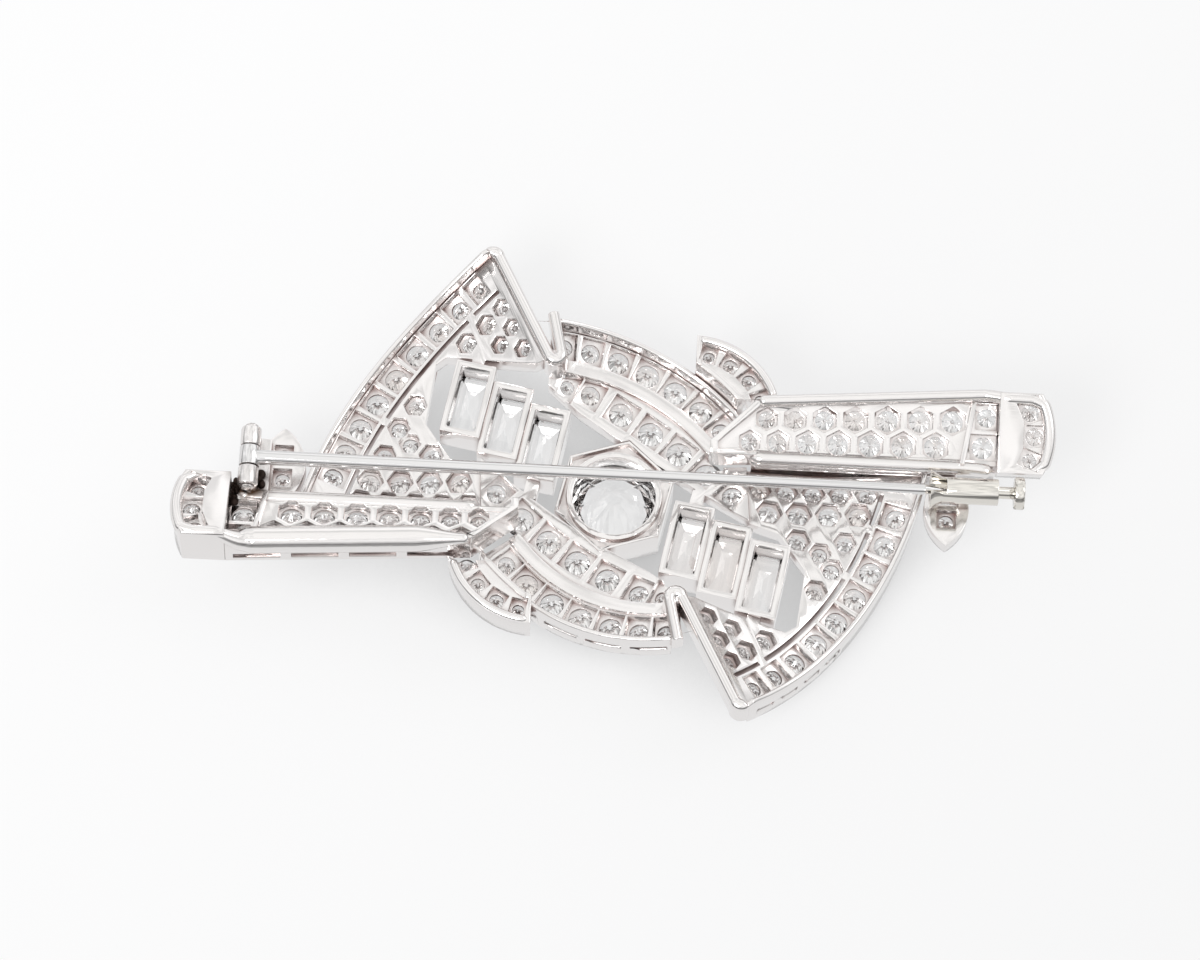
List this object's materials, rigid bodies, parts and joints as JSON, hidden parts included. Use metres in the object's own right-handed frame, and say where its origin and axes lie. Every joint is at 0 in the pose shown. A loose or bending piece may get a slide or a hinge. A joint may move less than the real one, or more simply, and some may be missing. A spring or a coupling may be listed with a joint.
{
  "type": "brooch",
  "caption": "Ribbon-bow brooch with pierced, bent gallery plates set with diamonds, a central round stone, stepped baguettes, a hinged pin and a sliding safety catch.",
  "frame": {"origin": "centre stone's axis at the level of the claw tips on which the brooch lies face down", "axes": "+Z out of the brooch's back, +X along the pin from hinge to catch, +Y across the brooch"},
  "size_m": [0.064, 0.036, 0.0105],
  "materials": {
    "platinum": "polished platinum",
    "pin_wire": "polished wire",
    "catch_metal": "polished, slightly warm white metal",
    "diamond": "faceted, clear"
  },
  "bodies": {
    "brooch": {"centre_collet": "platinum", "centre_stone": "diamond", "left_wing": "platinum", "right_wing": "platinum", "left_wing_wall": "platinum", "right_wing_wall": "platinum", "left_fold": "platinum", "right_fold": "platinum", "left_border_stones": "diamond", "right_border_stones": "diamond", "left_field_stones": "diamond", "right_field_stones": "diamond", "upper_outer_ribbon": "platinum", "lower_outer_ribbon": "platinum", "upper_outer_stones": "diamond", "lower_outer_stones": "diamond", "upper_ribbon_wall": "platinum", "lower_ribbon_wall": "platinum", "upper_inner_ribbon": "platinum", "lower_inner_ribbon": "platinum", "upper_inner_stones": "diamond", "lower_inner_stones": "diamond", "upper_loop": "platinum", "lower_loop": "platinum", "upper_loop_stones": "diamond", "lower_loop_stones": "diamond", "right_arm": "platinum", "left_arm": "platinum", "right_arm_stones": "diamond", "left_arm_stones": "diamond", "right_curl": "platinum", "left_curl": "platinum", "right_curl_stones": "diamond", "left_curl_stones": "diamond", "left_leaf": "platinum", "right_leaf": "platinum", "left_leaf_stones": "diamond", "right_leaf_stones": "diamond", "left_baguette_collet_1": "platinum", "left_baguette_collet_2": "platinum", "left_baguette_collet_3": "platinum", "right_baguette_collet_1": "platinum", "right_baguette_collet_2": "platinum", "right_baguette_collet_3": "platinum", "left_baguettes": "diamond", "right_baguettes": "diamond", "hinge_bracket": "platinum", "hinge_rivet": "platinum", "catch_barrel": "catch_metal"},
    "pin": {"pin_stem": "pin_wire"},
    "catch_slider": {"catch_slide": "catch_metal", "catch_knob": "platinum"}
  },
  "joints": [
    {"name": "pin_hinge", "type": "hinge", "parent": "brooch", "child": "pin", "pos_m": [-0.0268, 0, 0.0083], "axis": [0, -1, 0], "range_deg": [0, 105]},
    {"name": "catch_travel", "type": "slide", "parent": "brooch", "child": "catch_slider", "axis": [1, 0, 0], "range_m": [-0.0011, 0]}
  ]
}
